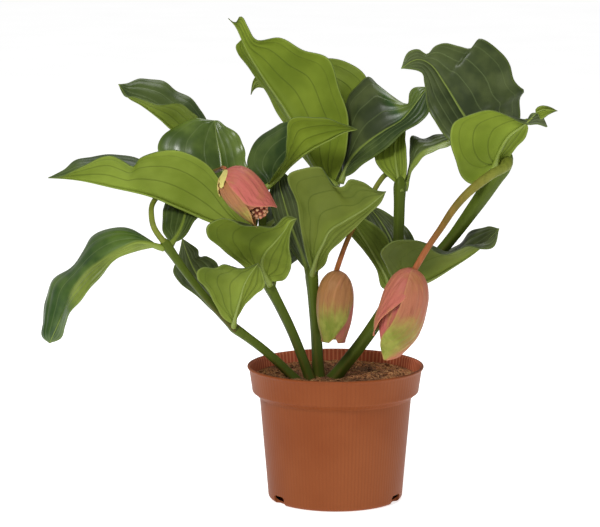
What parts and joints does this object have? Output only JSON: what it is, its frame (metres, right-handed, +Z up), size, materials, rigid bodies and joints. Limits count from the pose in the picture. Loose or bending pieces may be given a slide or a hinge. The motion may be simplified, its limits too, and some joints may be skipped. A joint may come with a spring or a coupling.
{
  "type": "flowering pot plant, medinilla",
  "caption": "Flowering house plant in a nursery pot, with large pointed ribbed leaves on arching stems and hanging pink buds.",
  "frame": {"origin": "centre of the underside of the pot, on the surface that the pot stands on", "axes": "+Z up, -Y towards the plant's best side with the open bud on the left, +X to the right of it"},
  "size_m": [0.4849, 0.2574, 0.4595],
  "materials": {
    "pot_plastic": "satin",
    "soil_mix": "matte",
    "leaf": "satin",
    "stem": "satin",
    "flower_stalk": "satin",
    "bract": "satin",
    "flower_buds": "satin"
  },
  "bodies": {
    "root": {"bract_left_front": "bract", "bract_left_lower": "bract", "bract_left_rear": "bract", "bract_left_upper": "bract", "bract_middle_front": "bract", "bract_middle_left": "bract", "bract_middle_rear": "bract", "bract_middle_right": "bract", "bract_right_front": "bract", "bract_right_left": "bract", "bract_right_rear": "bract", "bract_right_right": "bract", "flower_cluster": "flower_buds", "leaf_centre_dark": "leaf", "leaf_centre_front": "leaf", "leaf_centre_inner": "leaf", "leaf_centre_left": "leaf", "leaf_crown": "leaf", "leaf_crown_rear": "leaf", "leaf_fork_left": "leaf", "leaf_fork_low": "leaf", "leaf_fork_rear": "leaf", "leaf_fork_right": "leaf", "leaf_left_drooping": "leaf", "leaf_left_inner": "leaf", "leaf_left_rear": "leaf", "leaf_left_upright": "leaf", "leaf_left_wide": "leaf", "leaf_low_front": "leaf", "leaf_low_rear": "leaf", "leaf_mid_front": "leaf", "leaf_rear_crown": "leaf", "leaf_rear_low": "leaf", "leaf_rear_wide": "leaf", "leaf_right_crown": "leaf", "leaf_right_front": "leaf", "leaf_right_low": "leaf", "pot": "pot_plastic", "soil": "soil_mix", "stalk_left": "flower_stalk", "stalk_middle": "flower_stalk", "stalk_right": "flower_stalk", "stem_crown_rear": "stem", "stem_fork": "stem", "stem_fourth": "stem", "stem_fourth_upper": "stem", "stem_left": "stem", "stem_left_rear": "stem", "stem_left_upper": "stem", "stem_second": "stem", "stem_second_upper": "stem", "stem_third": "stem", "stem_third_upper": "stem"}
  },
  "joints": []
}
